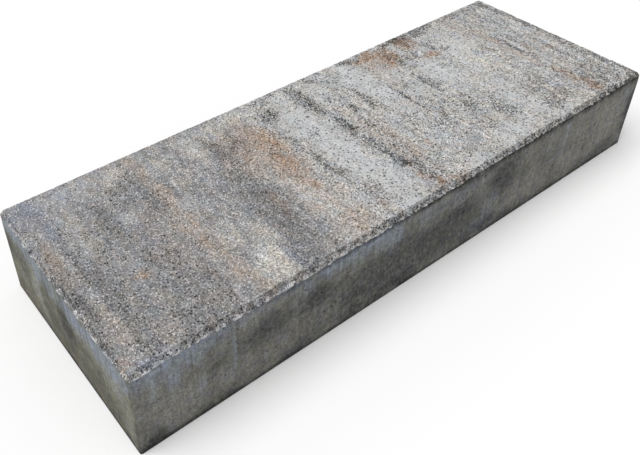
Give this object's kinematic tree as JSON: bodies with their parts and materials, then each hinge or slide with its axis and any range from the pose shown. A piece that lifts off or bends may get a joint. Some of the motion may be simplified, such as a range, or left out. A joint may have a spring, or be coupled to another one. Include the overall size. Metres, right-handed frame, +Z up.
{
  "type": "concrete block step",
  "caption": "Solid concrete block step: a long low bar with a mottled, blasted tread, a small bevel round its top edge and smooth pressed sides, for garden stairs.",
  "frame": {"origin": "centre of the underside, on the bed it lies on", "axes": "+X along the length of the step, +Y from its front face to its back face, +Z up"},
  "size_m": [1, 0.35, 0.15],
  "materials": {
    "concrete": "blasted tread in mottled pale grey, charcoal and rust brown, smooth grey pressed sides"
  },
  "bodies": {
    "root": {"block_step": "concrete"}
  },
  "joints": []
}
